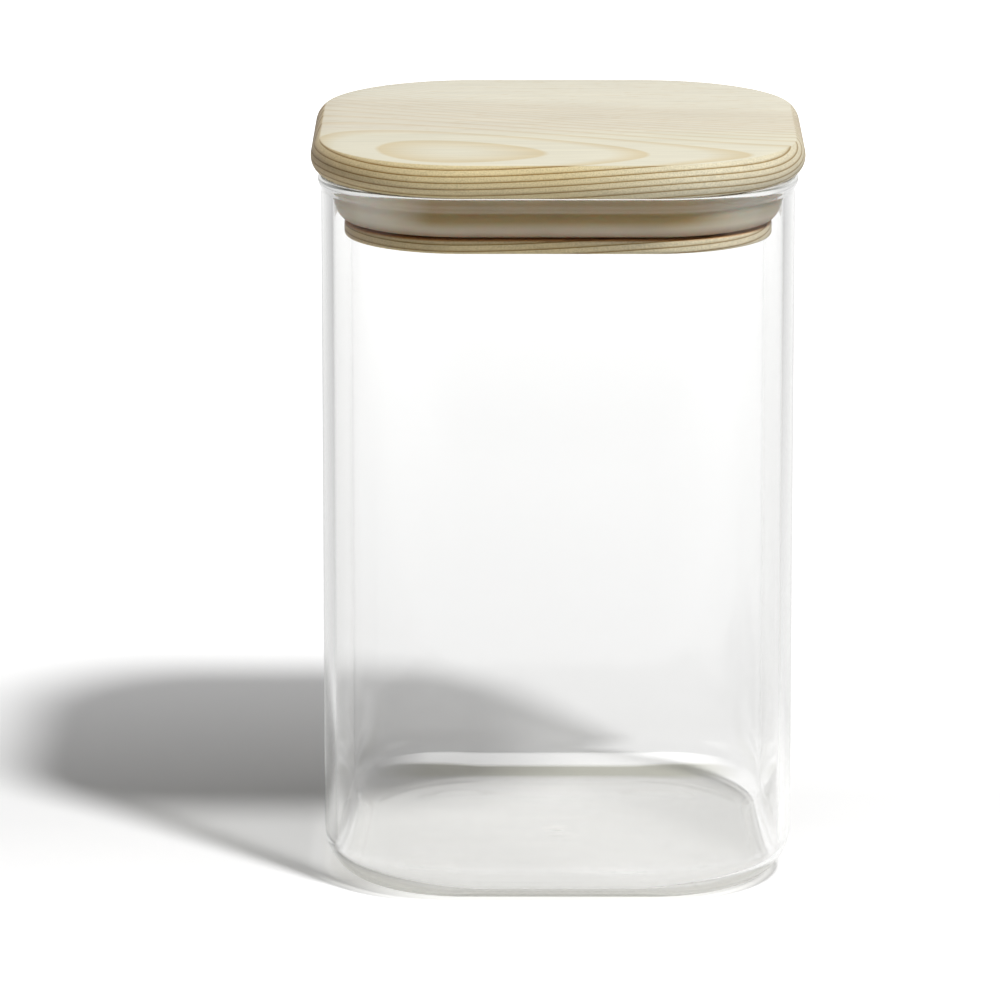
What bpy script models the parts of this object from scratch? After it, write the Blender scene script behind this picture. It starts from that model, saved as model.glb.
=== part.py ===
"""Square glass storage jar with a pine lid and a silicone seal.

Units are metres and +Z is up. The jar stands on the plane z = 0, centred on the Z axis.
All three pieces share one plan: a square with rounded corners, offset inwards or outwards.
"""

import bmesh
import bpy
from math import cos, pi, radians, sin
from mathutils import Vector

# Glass jar
JAR_WIDTH = 0.1000
JAR_CORNER_RADIUS = 0.0300
JAR_HEIGHT = 0.1523
JAR_WALL = 0.0025
JAR_BASE = 0.0026
JAR_FOOT_RADIUS = 0.0090
JAR_FOOT_THINNING = 0.0008
FOOT_RING_WIDTH = 0.0045
PUSH_UP_HEIGHT = 0.0004
PUSH_UP_SLOPE = 0.0140
LIP_HEIGHT = 0.0032
LIP_FLARE = 0.0006
LIP_ROUND = 0.0011

# Wooden lid: a plate that covers the lip, and a grooved plug that fills the mouth
LID_OVERHANG = 0.0021
LID_CORNER_RADIUS = 0.0339
LID_PLATE = 0.0070
LID_UNDER_ROUND = 0.0035
LID_TOP_FACED_OFF = 0.0006
PLUG_DEPTH = 0.0126
PLUG_GAP = 0.0025
PLUG_FLANGE = 0.0031
PLUG_ROUND = 0.0008
GROOVE_DEPTH = 0.0030

# Silicone seal: a band in the groove, with a skirt that swells up and out to the glass
SEAL_BAND = 0.0013
SEAL_LIP = 0.0011
SEAL_SLOT_FLOOR = 0.0022
SEAL_HEEL_RISE = 0.0005
SEAL_SKIRT_OUT = 0.0013
SEAL_SKIRT_RISE = 0.0015
SEAL_TAPER_HEIGHT = 0.0042
SEAL_LIP_DROP = 0.0006

# Clearances, the least flat between two rounds, and the overlap of joined blocks
SEAT_CLEARANCE = 0.0002
SEAL_CLEARANCE = 0.0003
EDGE_FLAT = 0.0001
OVERRUN = 0.0010

# The most of a wall or a plate that a round on its edge may take
LIP_ROUND_LIMIT_SHARE = 0.45
PUSH_UP_LIMIT_SHARE = 0.9
UNDER_ROUND_LIMIT_SHARE = 0.6

# Facets of the round stretches
CORNER_SEGMENTS = 12
FOOT_SEGMENTS = 6
LIP_SEGMENTS = 4
EDGE_SEGMENTS = 6
SMALL_EDGE_SEGMENTS = 2
PUSH_UP_STEPS = 4

# The plan of the jar, from the outside in
JAR_HALF = JAR_WIDTH / 2
INNER_HALF = JAR_HALF - JAR_WALL
PLUG_HALF = INNER_HALF - PLUG_GAP
NECK_HALF = PLUG_HALF - GROOVE_DEPTH
PLAN_CORE_HALF = JAR_HALF - JAR_CORNER_RADIUS

# Heights of the lid
PLATE_UNDERSIDE = JAR_HEIGHT + SEAT_CLEARANCE
LID_TOP = PLATE_UNDERSIDE + LID_PLATE
PLUG_BOTTOM = PLATE_UNDERSIDE - PLUG_DEPTH
FLANGE_TOP = PLUG_BOTTOM + PLUG_FLANGE


def clear_scene():
    """Remove every object, so that the script can be run again."""
    for old in list(bpy.data.objects):
        bpy.data.objects.remove(old, do_unlink=True)


def new_collection(name):
    """Make a collection and hang it under the scene."""
    collection = bpy.data.collections.new(name)
    bpy.context.scene.collection.children.link(collection)
    return collection


def make_material(name, colour, roughness, transmission=0.0, ior=1.5):
    """Make a plain Principled material."""
    material = bpy.data.materials.new(name)
    material.use_nodes = True
    shader = material.node_tree.nodes["Principled BSDF"]
    shader.inputs["Base Color"].default_value = (*colour, 1.0)
    shader.inputs["Roughness"].default_value = roughness
    shader.inputs["Metallic"].default_value = 0.0
    shader.inputs["Transmission Weight"].default_value = transmission
    shader.inputs["IOR"].default_value = ior
    return material


def concentric_radius(half_width):
    """Corner radius of the jar's plan when it is offset to another half width."""
    return half_width - PLAN_CORE_HALF


def outward(point):
    """Unit vector square to the jar's plan, pointing out, at a point of its wall."""
    core = Vector((
        max(-PLAN_CORE_HALF, min(PLAN_CORE_HALF, point.x)),
        max(-PLAN_CORE_HALF, min(PLAN_CORE_HALF, point.y)),
        point.z,
    ))
    return (point - core).normalized()


def lowest_face(bm):
    """The face whose centre is lowest."""
    return min(bm.faces, key=lambda face: face.calc_center_median().z)


def highest_face(bm):
    """The face whose centre is highest."""
    return max(bm.faces, key=lambda face: face.calc_center_median().z)


def upright_edges(bm):
    """The four edges of a block that run up its corners."""
    found = []
    for edge in bm.edges:
        run = edge.verts[1].co - edge.verts[0].co
        if abs(run.z) > run.xy.length:
            found.append(edge)
    return found


def round_edges(bm, edges, radius, segments):
    """Round some edges to a circular section."""
    bmesh.ops.bevel(
        bm,
        geom=list(edges),
        offset=radius,
        offset_type="OFFSET",
        segments=segments,
        profile=0.5,
        affect="EDGES",
        clamp_overlap=False,
    )


def rounded_block(half_width, corner_radius, low, high):
    """A square block with round upright corners, between two heights."""
    bm = bmesh.new()
    bmesh.ops.create_cube(bm, size=1.0)
    bmesh.ops.scale(bm, vec=(2 * half_width, 2 * half_width, high - low), verts=bm.verts)
    bmesh.ops.translate(bm, vec=(0, 0, (low + high) / 2), verts=bm.verts)
    round_edges(bm, upright_edges(bm), corner_radius, CORNER_SEGMENTS)
    return bm


def finish_mesh(bm, name, material, collection):
    """Turn a bmesh into a named, smoothly shaded object."""
    mesh = bpy.data.meshes.new(name)
    bm.to_mesh(mesh)
    bm.free()
    mesh.shade_smooth()
    mesh.set_sharp_from_angle(angle=radians(35))
    item = bpy.data.objects.new(name, mesh)
    if material is not None:
        mesh.materials.append(material)
    collection.objects.link(item)
    return item


def hide_guide(item):
    """Mark an object as a guide that isn't part of the jar."""
    item.hide_render = True
    item.display_type = "WIRE"


def face_off(bm, height):
    """Cut a block level at a height, as a planer does, and close the cut."""
    cut = bmesh.ops.bisect_plane(
        bm,
        geom=list(bm.verts) + list(bm.edges) + list(bm.faces),
        plane_co=(0, 0, height),
        plane_no=(0, 0, 1),
        clear_outer=True,
    )
    rim = [part for part in cut["geom_cut"] if isinstance(part, bmesh.types.BMEdge)]
    bmesh.ops.contextual_create(bm, geom=rim)


def join_block(item, block):
    """Join a block to an object with a Boolean union."""
    union = item.modifiers.new("join " + block.name, "BOOLEAN")
    union.operation = "UNION"
    union.solver = "EXACT"
    union.object = block


def push_up_base(bm):
    """Raise the middle of the foot in a shallow rise, leaving a flat ring to stand on."""
    corner_left = JAR_CORNER_RADIUS - JAR_FOOT_RADIUS - FOOT_RING_WIDTH
    slope = min(PUSH_UP_SLOPE, corner_left * PUSH_UP_LIMIT_SHARE)
    middle = lowest_face(bm)
    bmesh.ops.inset_region(bm, faces=[middle], thickness=FOOT_RING_WIDTH, use_even_offset=True)
    height_before = 0
    for step in range(1, PUSH_UP_STEPS + 1):
        rise_share = (1 - cos(pi * step / PUSH_UP_STEPS)) / 2
        height = PUSH_UP_HEIGHT * rise_share
        bmesh.ops.inset_region(
            bm,
            faces=[middle],
            thickness=slope / PUSH_UP_STEPS,
            use_even_offset=True,
        )
        bmesh.ops.translate(bm, vec=(0, 0, height - height_before), verts=middle.verts)
        height_before = height


def flare_lip(bm):
    """Carry the open edge up in short steps that swing out and end upright."""
    rim = [edge for edge in bm.edges if edge.is_boundary]
    lean_before = 0
    for step in range(1, LIP_SEGMENTS + 1):
        swing_share = min(step / (LIP_SEGMENTS - 1), 1)
        lean = LIP_FLARE * (1 - cos(pi * swing_share)) / 2
        grown = bmesh.ops.extrude_edge_only(bm, edges=rim)["geom"]
        rim = [part for part in grown if isinstance(part, bmesh.types.BMEdge)]
        for vertex in (part for part in grown if isinstance(part, bmesh.types.BMVert)):
            vertex.co += outward(vertex.co) * (lean - lean_before)
            vertex.co.z += LIP_HEIGHT / LIP_SEGMENTS
        lean_before = lean


def thicken_glass(jar):
    """Give the open surface its glass, which is stretched thinner round the foot."""
    thickest = max(JAR_WALL, JAR_BASE)
    group = jar.vertex_groups.new(name="thickness")
    for vertex in jar.data.vertices:
        rise_share = min(max(vertex.co.z, 0) / JAR_FOOT_RADIUS, 1)
        thickness = JAR_BASE + (JAR_WALL - JAR_BASE) * rise_share
        thickness -= JAR_FOOT_THINNING * sin(pi * rise_share)
        group.add([vertex.index], thickness / thickest, "REPLACE")
    solidify = jar.modifiers.new("glass thickness", "SOLIDIFY")
    solidify.thickness = thickest
    solidify.offset = -1
    solidify.use_even_offset = True
    solidify.use_quality_normals = True
    solidify.vertex_group = group.name
    polish = jar.modifiers.new("fire-polished lip", "BEVEL")
    polish.width = min(LIP_ROUND, JAR_WALL * LIP_ROUND_LIMIT_SHARE)
    polish.segments = LIP_SEGMENTS
    polish.limit_method = "ANGLE"
    polish.angle_limit = radians(60)
    polish.use_clamp_overlap = False


def make_glass_jar(collection):
    """The blown glass container, from an open surface of its outside."""
    glass = make_material("clear glass", (0.96, 0.98, 0.97), 0.02, transmission=1.0, ior=1.47)
    bm = rounded_block(JAR_HALF, JAR_CORNER_RADIUS, 0, JAR_HEIGHT - LIP_HEIGHT)
    bmesh.ops.delete(bm, geom=[highest_face(bm)], context="FACES_ONLY")
    round_edges(bm, lowest_face(bm).edges, JAR_FOOT_RADIUS, FOOT_SEGMENTS)
    push_up_base(bm)
    flare_lip(bm)
    jar = finish_mesh(bm, "glass_jar", glass, collection)
    thicken_glass(jar)
    return jar


def lid_plate():
    """The plate: its edge is worked round all over, then its top is faced off flat."""
    under_round = min(LID_UNDER_ROUND, LID_PLATE * UNDER_ROUND_LIMIT_SHARE)
    rough_top = LID_TOP + LID_TOP_FACED_OFF
    top_round = rough_top - PLATE_UNDERSIDE - under_round
    plate = rounded_block(JAR_HALF + LID_OVERHANG, LID_CORNER_RADIUS, PLATE_UNDERSIDE, rough_top)
    round_edges(plate, highest_face(plate).edges, top_round - EDGE_FLAT, EDGE_SEGMENTS)
    round_edges(plate, lowest_face(plate).edges, under_round - EDGE_FLAT, EDGE_SEGMENTS)
    face_off(plate, LID_TOP)
    return plate


def make_lid(collection, cutters):
    """The pine lid: plate, neck and flange, joined into one milled block."""
    pine = make_material("oiled pine", (0.78, 0.62, 0.42), 0.55)
    lid = finish_mesh(lid_plate(), "lid", pine, collection)

    flange = rounded_block(PLUG_HALF, concentric_radius(PLUG_HALF), PLUG_BOTTOM, FLANGE_TOP)
    round_edges(flange, lowest_face(flange).edges, PLUG_ROUND, SMALL_EDGE_SEGMENTS)
    neck = rounded_block(
        NECK_HALF,
        concentric_radius(NECK_HALF),
        FLANGE_TOP - OVERRUN,
        PLATE_UNDERSIDE + OVERRUN,
    )
    for name, bm in (("lid neck", neck), ("lid flange", flange)):
        block = finish_mesh(bm, name, pine, cutters)
        hide_guide(block)
        join_block(lid, block)
    return lid


def rounded_square_path(half_width, corner_radius):
    """Points of a rounded square, counter-clockwise, as four arcs joined by straights."""
    core = half_width - corner_radius
    points = []
    for quarter, (side_x, side_y) in enumerate(((1, 1), (-1, 1), (-1, -1), (1, -1))):
        for step in range(CORNER_SEGMENTS + 1):
            angle = (quarter + step / CORNER_SEGMENTS) * pi / 2
            points.append((
                side_x * core + corner_radius * cos(angle),
                side_y * core + corner_radius * sin(angle),
            ))
    return points


def closed_curve(name, points, collection):
    """A closed curve of straight pieces through flat points."""
    curve = bpy.data.curves.new(name, "CURVE")
    curve.dimensions = "3D"
    curve.twist_mode = "Z_UP"
    spline = curve.splines.new("POLY")
    spline.points.add(len(points) - 1)
    for target, (x, y) in zip(spline.points, points):
        target.co = (x, y, 0, 1)
    spline.use_cyclic_u = True
    item = bpy.data.objects.new(name, curve)
    collection.objects.link(item)
    return item


def seal_section():
    """Outline of the seal's section, clockwise: out from its band, and up from its foot."""
    height = PLATE_UNDERSIDE - FLANGE_TOP - 2 * SEAL_CLEARANCE
    heel = PLUG_HALF - NECK_HALF - SEAL_CLEARANCE
    reach = INNER_HALF - NECK_HALF - 2 * SEAL_CLEARANCE
    lip_top = height - SEAL_LIP_DROP
    return (
        (0, 0),
        (0, height),
        (SEAL_BAND, height),
        (SEAL_BAND, SEAL_SLOT_FLOOR),
        (reach - SEAL_LIP, SEAL_TAPER_HEIGHT + SEAL_LIP / 2),
        (reach - SEAL_LIP, lip_top),
        (reach, lip_top),
        (reach, SEAL_TAPER_HEIGHT),
        (heel + SEAL_SKIRT_OUT, SEAL_HEEL_RISE + SEAL_SKIRT_RISE),
        (heel, SEAL_HEEL_RISE),
    )


def make_seal(collection, cutters):
    """The silicone ring: its section swept round the groove of the plug."""
    silicone = make_material("translucent silicone", (0.72, 0.69, 0.64), 0.45, transmission=0.3)
    band_half = NECK_HALF + SEAL_CLEARANCE
    section = closed_curve("seal section", seal_section(), cutters)
    hide_guide(section)
    path = closed_curve(
        "seal",
        rounded_square_path(band_half, concentric_radius(band_half)),
        collection,
    )
    path.data.bevel_mode = "OBJECT"
    path.data.bevel_object = section
    path.location.z = FLANGE_TOP + SEAL_CLEARANCE
    path.data.materials.append(silicone)
    return path


def main():
    """Build the jar, its lid and its seal."""
    clear_scene()
    pieces = new_collection("glass storage jar")
    cutters = new_collection("guides and joined blocks")
    make_glass_jar(pieces)
    make_lid(pieces, cutters)
    make_seal(pieces, cutters)


main()
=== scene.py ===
# %% [markdown]
# # A square storage jar in glass, pine and silicone
# The real jar is three pieces: a blown glass container, a pine lid that covers its lip, and
# a soft ring in a groove of the lid that holds it in the mouth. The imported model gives
# their places and sizes. This lesson makes the fine surface of each piece and its finish,
# and the light and camera of the photograph. Everything is in metres, with +Z up.

import bmesh
import bpy
from math import asin, cos, degrees, exp, pi, radians, sin
from mathutils import Matrix, Vector, noise


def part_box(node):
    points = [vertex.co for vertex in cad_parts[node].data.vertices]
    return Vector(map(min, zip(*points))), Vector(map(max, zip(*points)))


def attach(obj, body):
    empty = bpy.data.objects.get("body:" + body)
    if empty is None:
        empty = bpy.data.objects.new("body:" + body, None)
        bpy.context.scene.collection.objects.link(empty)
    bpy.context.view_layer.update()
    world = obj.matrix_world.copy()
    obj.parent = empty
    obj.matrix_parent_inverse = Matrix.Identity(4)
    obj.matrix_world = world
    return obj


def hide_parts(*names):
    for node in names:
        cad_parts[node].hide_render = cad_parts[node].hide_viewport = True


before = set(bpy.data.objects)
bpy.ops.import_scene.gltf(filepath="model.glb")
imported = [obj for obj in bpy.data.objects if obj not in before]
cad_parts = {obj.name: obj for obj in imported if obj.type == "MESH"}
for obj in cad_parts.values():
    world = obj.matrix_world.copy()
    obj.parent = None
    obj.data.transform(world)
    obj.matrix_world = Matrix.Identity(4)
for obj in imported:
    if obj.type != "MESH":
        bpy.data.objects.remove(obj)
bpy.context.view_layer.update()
MM = 0.001

# %% [markdown]
# ## The camera
# Product pictures are taken with a long lens from some way off, so that upright edges stay
# nearly upright. This one looks down on the lid by about 14 degrees, which shows the top
# as a thin oval. The lens and the place come from matching the outlines of the glass and
# the lid. The camera is turned by a matrix of its right, up and back directions, because
# that also takes the slight roll of a hand-set tripod.

# %% Set the camera
SENSOR_WIDTH_MM = 36
IMAGE_WIDTH_PIXELS = 1000
FOCAL_PIXELS = 6891
NEAREST_SEEN = 0.05
FARTHEST_SEEN = 50
CAMERA_DISTANCE = 1.4452
CAMERA_HEIGHT = 0.4267
AIM_HEIGHT = 0.0765
AIM_SIDE = -0.0124
CAMERA_TURN = -0.0025
CAMERA_ROLL = -0.0009


def set_camera():
    """A long lens in front of the jar, aimed a little left of its axis."""
    camera = bpy.data.cameras.new("product camera")
    camera.sensor_width = SENSOR_WIDTH_MM
    camera.lens = SENSOR_WIDTH_MM * FOCAL_PIXELS / IMAGE_WIDTH_PIXELS
    camera.clip_start = NEAREST_SEEN
    camera.clip_end = FARTHEST_SEEN
    right = Vector((cos(CAMERA_TURN), sin(CAMERA_TURN), 0))
    place = Vector((sin(CAMERA_TURN), -cos(CAMERA_TURN), 0)) * CAMERA_DISTANCE
    place.z = CAMERA_HEIGHT
    aim = right * AIM_SIDE + Vector((0, 0, AIM_HEIGHT))
    forward = (aim - place).normalized()
    right = forward.cross(Vector((0, 0, 1))).normalized()
    up = right.cross(forward)
    turn = Matrix((right, up, -forward)).transposed() @ Matrix.Rotation(CAMERA_ROLL, 3, "Z")
    item = bpy.data.objects.new("product camera", camera)
    item.matrix_world = Matrix.Translation(place) @ turn.to_4x4()
    bpy.context.scene.collection.objects.link(item)
    bpy.context.scene.camera = item
    return item


camera = set_camera()
print(f"lens {camera.data.lens:.0f} mm, {CAMERA_DISTANCE:.2f} m away")

# %% [markdown]
# ## Nodes by name
# Every finish below is a small tree of shader nodes. They could be placed one by one, but
# a few helpers keep the trees readable: a node with its sockets set by name, a sum, what
# is left of 1, a blend of two colours, the place of the shaded point, and an empty
# material to start from.

# %% Helpers for values and sums
def feed(tree, socket, value):
    """Give a socket a value, or link it to another node's output."""
    if isinstance(value, bpy.types.NodeSocket):
        tree.links.new(value, socket)
    else:
        socket.default_value = value


def add_node(tree, kind, settings=None, **sockets):
    """A shader node, with settings by name and sockets given as values or as outputs."""
    node = tree.nodes.new(kind)
    for name, value in (settings or {}).items():
        setattr(node, name, value)
    for name, value in sockets.items():
        feed(tree, node.inputs[name.replace("_", " ")], value)
    return node


def maths(tree, operation, first, second=0.0, third=0.5, clamp=False):
    """The output of one Math node. Only MULTIPLY_ADD reads the third value."""
    node = tree.nodes.new("ShaderNodeMath")
    node.operation = operation
    node.use_clamp = clamp
    for socket, value in zip(node.inputs, (first, second, third)):
        feed(tree, socket, value)
    return node.outputs[0]


def one_minus(tree, share):
    """What is left of 1."""
    return maths(tree, "SUBTRACT", 1.0, share)


print("helpers for values ready")


# %% Helpers for places, colours and materials
def place_in_object(tree):
    """The place of a shaded point in its object, as one vector and as its three parts."""
    place = add_node(tree, "ShaderNodeTexCoord").outputs["Object"]
    return place, add_node(tree, "ShaderNodeSeparateXYZ", Vector=place).outputs


def blend_colours(tree, share, first, second, way="MIX"):
    """The output of one colour Mix node."""
    node = tree.nodes.new("ShaderNodeMix")
    node.data_type = "RGBA"
    node.blend_type = way
    sockets = (node.inputs[0], node.inputs[6], node.inputs[7])
    for socket, value in zip(sockets, (share, first, second)):
        feed(tree, socket, value)
    return node.outputs[2]


def new_material(name):
    """An empty material and its output node."""
    material = bpy.data.materials.new(name)
    material.use_nodes = True
    material.node_tree.nodes.clear()
    return material, material.node_tree.nodes.new("ShaderNodeOutputMaterial")


print("helpers for colours ready")

# %% [markdown]
# ## The floor
# The jar stands on a white sweep, lit so brightly that it has no tone of its own except in
# the shadow, which grows lighter towards the back. A lamp that stands near can't light a
# sweep so evenly, so the floor is a white diffuse sheet with a glow that only the camera
# meets. It starts just behind and just in front of the jar and grows with the distance.

# %% The glow that the camera meets
GLOW_START = 0.035
GLOW_RISE = 1.71
FRONT_GLOW_START = 0.015
FRONT_GLOW_RISE = 1.3
FOOT_GLOW_START = -0.030
FOOT_GLOW_RISE = 25.0


def grown_behind(tree, start, rise):
    """0 to 1, growing behind a start, or in front of it where the rise is below 0."""
    _, parts = place_in_object(tree)
    return maths(tree, "MULTIPLY", maths(tree, "SUBTRACT", parts["Y"], start), rise, clamp=True)


def camera_glow(tree):
    """The glow behind the jar and in front of it, for rays straight from the camera."""
    at_back = grown_behind(tree, GLOW_START, GLOW_RISE)
    in_front = grown_behind(tree, FRONT_GLOW_START, -FRONT_GLOW_RISE)
    at_foot = grown_behind(tree, FOOT_GLOW_START, -FOOT_GLOW_RISE)
    glow = maths(tree, "ADD", at_back, maths(tree, "ADD", in_front, at_foot))
    direct = tree.nodes.new("ShaderNodeLightPath").outputs["Is Camera Ray"]
    return maths(tree, "MULTIPLY", glow, direct)


print(f"glow from {GLOW_START / MM:.0f} mm behind the jar's middle")

# %% [markdown]
# Glass needs the opposite. It shows its form only where it finds something darker than
# white to bend and mirror, and a photographer hangs dark cards for that. Here rays from
# the glass meet a softer floor. Behind the jar lies a veil: its white is dimmed there and a
# painted glow lifts the shadow. The white ends in front, and it fades to both sides. A
# painted light strip, which stands in for the light that the foot's round edge gathers, and
# a painted shade strip at the foot's edge lie close behind the foot. That round edge draws
# them into the two bands at the back of the base.

# %% Where the white and the strips lie
SWEEP_FRONT = -0.50
SWEEP_FADE = 0.25
SIDE_CENTRE = 0.02
SIDE_START = 0.12
SIDE_REACH = 0.45
SIDE_LOSS = 0.50
STRIP_HALF = 0.030
STRIP_END_FADE = 0.015
STRIP_SIDE_FADE = 0.005
DARK_STRIP_START = 0.043
LIGHT_STRIP_START = 0.057
LIGHT_STRIP_END = 0.078


def white_part(tree):
    """How white the sweep is to the glass: it ends in front and fades to its sides."""
    _, parts = place_in_object(tree)
    from_front = maths(tree, "SUBTRACT", parts["Y"], SWEEP_FRONT)
    front = maths(tree, "DIVIDE", from_front, SWEEP_FADE, clamp=True)
    aside = maths(tree, "ABSOLUTE", maths(tree, "SUBTRACT", parts["X"], SIDE_CENTRE))
    out_there = maths(tree, "SUBTRACT", aside, SIDE_START)
    out_there = maths(tree, "DIVIDE", out_there, SIDE_REACH, clamp=True)
    lost = maths(tree, "MULTIPLY", out_there, SIDE_LOSS)
    return maths(tree, "MULTIPLY", front, one_minus(tree, lost))


def strip_behind(tree, start, end):
    """1 in a short strip across the floor between two distances, with soft sides and ends."""
    begun = grown_behind(tree, start, 1 / STRIP_SIDE_FADE)
    ended = grown_behind(tree, end, 1 / STRIP_SIDE_FADE)
    _, parts = place_in_object(tree)
    aside = maths(tree, "ABSOLUTE", parts["X"])
    to_end = maths(tree, "SUBTRACT", STRIP_HALF + STRIP_END_FADE, aside)
    inside = maths(tree, "DIVIDE", to_end, STRIP_END_FADE, clamp=True)
    return maths(tree, "MULTIPLY", inside, maths(tree, "SUBTRACT", begun, ended))


print(f"strips {DARK_STRIP_START / MM:.0f} to {LIGHT_STRIP_END / MM:.0f} mm behind the middle")

# %% What the glass meets there
FLOOR_WHITE = (0.93, 0.93, 0.93, 1)
DARK_ROOM = (0.03, 0.03, 0.03, 1)
# Painted shade strip behind the foot, and the strength of the painted light strip beyond it.
PAINTED_STRIP_SHADE = (0.66, 0.66, 0.58, 1)
PAINTED_STRIP_LIGHT = 0.36
# The veil: the white dimmed behind the jar, and a painted glow that lifts the shadow there.
VEIL_START = 0.045
VEIL_WIDTH = 0.05
VEIL_LOSS = 0.36
VEIL_GLOW = 0.11
VEIL_RISE = 1.15


def bent_rays(tree):
    """1 for a ray that glass or a shiny surface has bent or mirrored."""
    path = tree.nodes.new("ShaderNodeLightPath").outputs
    return maths(tree, "MAXIMUM", path["Is Glossy Ray"], path["Is Transmission Ray"])


def floor_colour(tree, bent, veil, white):
    """White, and to the glass a dimmed white with the painted shade strip behind the foot."""
    unveiled = one_minus(tree, maths(tree, "MULTIPLY", veil, VEIL_LOSS))
    to_glass = maths(tree, "MULTIPLY", bent, maths(tree, "MULTIPLY", white, unveiled))
    seen = maths(tree, "MAXIMUM", to_glass, one_minus(tree, bent))
    plain = blend_colours(tree, seen, DARK_ROOM, FLOOR_WHITE)
    strip = strip_behind(tree, DARK_STRIP_START, LIGHT_STRIP_START)
    return blend_colours(tree, maths(tree, "MULTIPLY", strip, bent), plain, PAINTED_STRIP_SHADE)


def veiled_glow(tree, bent, veil, white):
    """The softer painted glow that lifts the shadow, and the painted light strip behind the foot.
    """
    grown = maths(tree, "ADD", grown_behind(tree, 0.0, VEIL_RISE), VEIL_GLOW)
    strip = strip_behind(tree, LIGHT_STRIP_START, LIGHT_STRIP_END)
    strip = maths(tree, "MULTIPLY", strip, PAINTED_STRIP_LIGHT)
    glow = maths(tree, "ADD", maths(tree, "MULTIPLY", veil, grown), strip)
    return maths(tree, "MULTIPLY", glow, maths(tree, "MULTIPLY", bent, white))


print(f"veil from {VEIL_START / MM:.0f} mm behind the middle")

# %% Lay the floor
FLOOR_HALF = 12.0
FLOOR_SQUARES = 8
FLOOR_GAP = 0.05 * MM


def floor_finish():
    """A white sweep: plain to the camera, veiled and limited to rays from the glass."""
    material, out = new_material("white sweep")
    tree = material.node_tree
    bent = bent_rays(tree)
    veil = grown_behind(tree, VEIL_START, 1 / VEIL_WIDTH)
    white = white_part(tree)
    colour = floor_colour(tree, bent, veil, white)
    strength = maths(tree, "ADD", camera_glow(tree), veiled_glow(tree, bent, veil, white))
    diffuse = add_node(tree, "ShaderNodeBsdfDiffuse", Color=colour)
    glow = add_node(tree, "ShaderNodeEmission", Strength=strength)
    both = add_node(tree, "ShaderNodeAddShader")
    tree.links.new(diffuse.outputs[0], both.inputs[0])
    tree.links.new(glow.outputs[0], both.inputs[1])
    tree.links.new(both.outputs[0], out.inputs["Surface"])
    return material


def make_floor():
    """A wide flat sheet just under the foot ring."""
    bm = bmesh.new()
    bmesh.ops.create_grid(
        bm, x_segments=FLOOR_SQUARES, y_segments=FLOOR_SQUARES, size=FLOOR_HALF
    )
    mesh = bpy.data.meshes.new("floor")
    bm.to_mesh(mesh)
    bm.free()
    mesh.materials.append(floor_finish())
    floor = bpy.data.objects.new("floor", mesh)
    floor.location.z = -FLOOR_GAP
    bpy.context.scene.collection.objects.link(floor)
    return floor


floor = make_floor()
print(f"floor {2 * FLOOR_HALF:.0f} m wide")

# %% [markdown]
# ## The light
# The lid's shadow lies behind the jar and to its left. It is wider than the lid, and its
# two side lines spread apart, so the lamp is near: some 1.4 m off, in front on the right
# and high up. Its soft edges give the lamp's size, somewhat taller than wide. The mirror
# image of a lamp so small and strong shows as white specks on the seal, which the
# photograph doesn't have, so the lamp is kept out of mirrored rays.

# %% Set the lamp
KEY_PLACE = Vector((0.43, -0.57, 1.19))
KEY_WIDTH = 0.14
KEY_TALLNESS = 0.20
KEY_POWER = 18.6


def set_key_light():
    """One soft lamp from the front right."""
    lamp = bpy.data.lights.new("key lamp", "AREA")
    lamp.shape = "ELLIPSE"
    lamp.size = KEY_WIDTH
    lamp.size_y = KEY_TALLNESS
    lamp.energy = KEY_POWER
    item = bpy.data.objects.new("key lamp", lamp)
    item.rotation_euler = KEY_PLACE.to_track_quat("Z", "Y").to_euler()
    item.location = KEY_PLACE
    item.visible_glossy = False
    bpy.context.scene.collection.objects.link(item)
    return item


key_lamp = set_key_light()
print(f"key lamp {KEY_PLACE.length:.2f} m away")

# %% [markdown]
# The rest is a soft light from overhead: it is strongest straight up and fades to the
# horizon, and leaves the undersides dark. The camera sees plain white beyond the floor.
# Rays that the glass bends or mirrors see it only behind the jar, because white all round
# would wash the walls out.

# %% Set the overhead light
OVERHEAD_STRENGTH = 0.54
OVERHEAD_POWER = 2.0
HORIZON_STRENGTH = 0.04
BACKDROP_START = 0.3
BACKDROP_EDGE = 2.0
WHITE = (1, 1, 1, 1)


def overhead_strength(tree, upward):
    """The strength of the light from a direction, by how far up it comes from."""
    rise = maths(tree, "POWER", maths(tree, "MAXIMUM", upward, 0.0), OVERHEAD_POWER)
    return maths(tree, "MULTIPLY_ADD", rise, OVERHEAD_STRENGTH, HORIZON_STRENGTH)


def sees_backdrop(tree, backward):
    """1 for rays that see plain white: the camera's own, and bent ones that go backwards."""
    behind = maths(tree, "MULTIPLY_ADD", backward, BACKDROP_EDGE, BACKDROP_START, clamp=True)
    direct = tree.nodes.new("ShaderNodeLightPath").outputs["Is Camera Ray"]
    return maths(tree, "MAXIMUM", direct, maths(tree, "MULTIPLY", bent_rays(tree), behind))


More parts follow.
